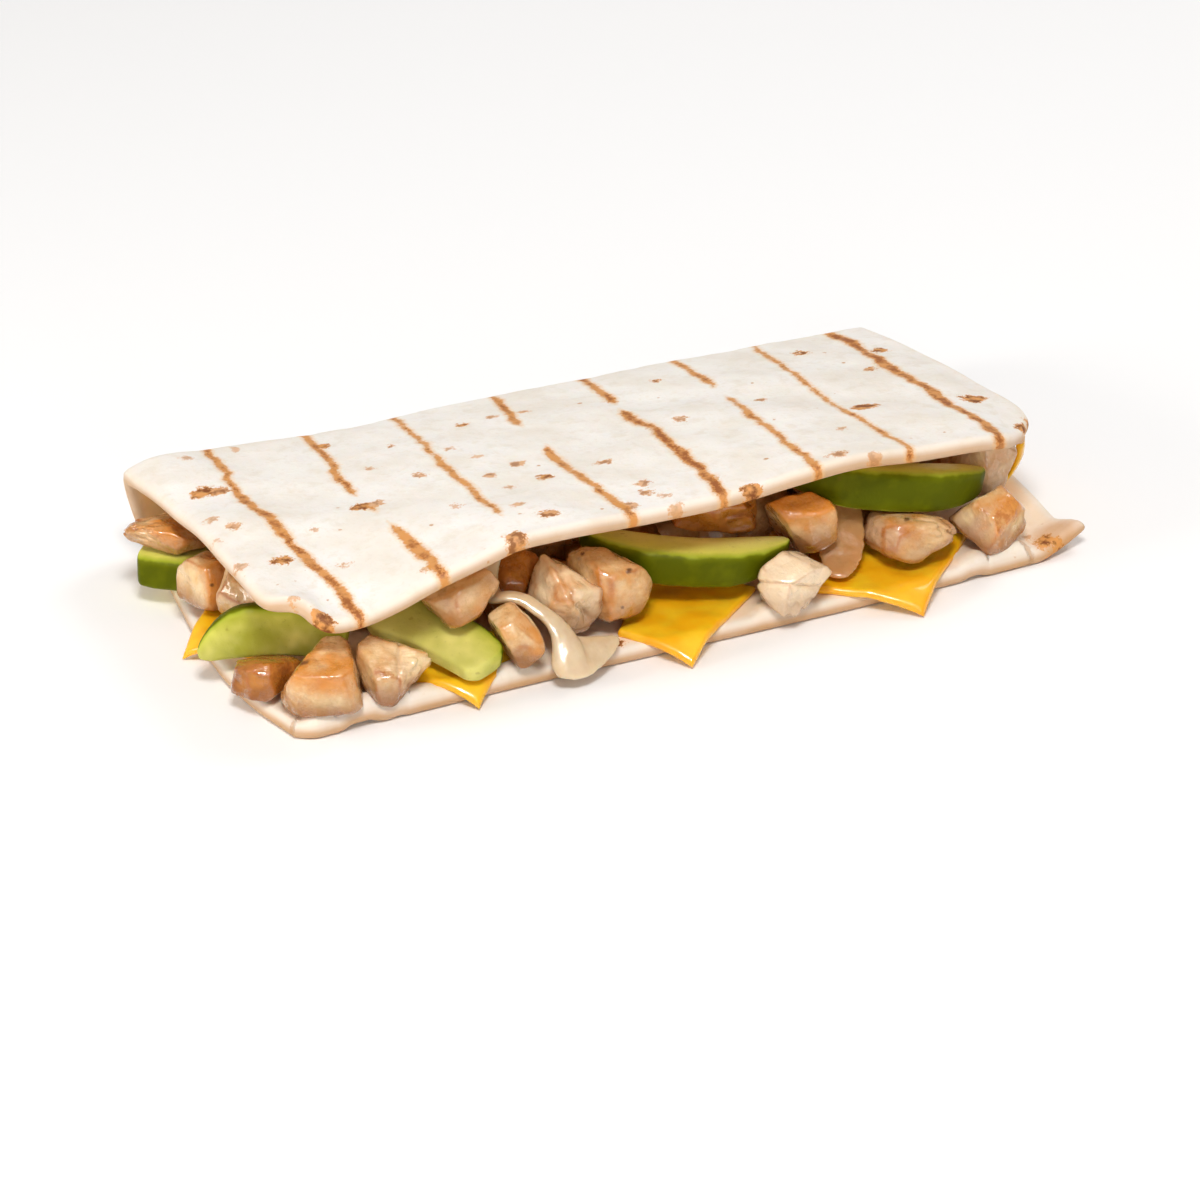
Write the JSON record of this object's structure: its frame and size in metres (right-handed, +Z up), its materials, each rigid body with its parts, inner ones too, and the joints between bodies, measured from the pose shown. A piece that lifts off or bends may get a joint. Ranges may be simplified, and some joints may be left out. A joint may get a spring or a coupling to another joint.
{
  "type": "quesadilla",
  "caption": "Folded grilled flour tortilla filled with diced chicken, avocado slices and melted cheese, lying flat with its open edge and both ends showing the filling.",
  "frame": {"origin": "under the middle of the bounding box, on the surface the quesadilla lies on", "axes": "+X along the fold, towards the right end seen from the open edge; +Y from the open edge towards the fold; +Z up"},
  "size_m": [0.2254, 0.1169, 0.0393],
  "materials": {
    "tortilla": null,
    "chicken": "cooked chicken, cream to golden brown, moist and glossy; gloss_plastic stands in",
    "avocado": "ripe avocado, yellow-green flesh and darker green outer side, satin; matte_plastic stands in",
    "cheddar": "softened orange-yellow cheddar, smooth and glossy; gloss_plastic stands in",
    "white_cheese": "melted white cheese, cream and slightly clear, glossy; gloss_plastic stands in"
  },
  "bodies": {
    "root": {"avocado_front_1": "avocado", "avocado_front_2": "avocado", "avocado_front_3": "avocado", "avocado_front_4": "avocado", "avocado_left_1": "avocado", "avocado_right_1": "avocado", "cheddar_front_1": "cheddar", "cheddar_front_2": "cheddar", "cheddar_front_3": "cheddar", "cheddar_left_1": "cheddar", "cheddar_right_1": "cheddar", "chicken_front_1": "chicken", "chicken_front_10": "chicken", "chicken_front_11": "chicken", "chicken_front_12": "chicken", "chicken_front_13": "chicken", "chicken_front_2": "chicken", "chicken_front_3": "chicken", "chicken_front_4": "chicken", "chicken_front_5": "chicken", "chicken_front_6": "chicken", "chicken_front_7": "chicken", "chicken_front_8": "chicken", "chicken_front_9": "chicken", "chicken_heap": "chicken", "chicken_left_1": "chicken", "chicken_left_2": "chicken", "chicken_left_3": "chicken", "chicken_left_4": "chicken", "chicken_right_1": "chicken", "chicken_right_2": "chicken", "chicken_right_3": "chicken", "tortilla": "tortilla", "white_cheese_1": "white_cheese", "white_cheese_2": "white_cheese"}
  },
  "joints": []
}
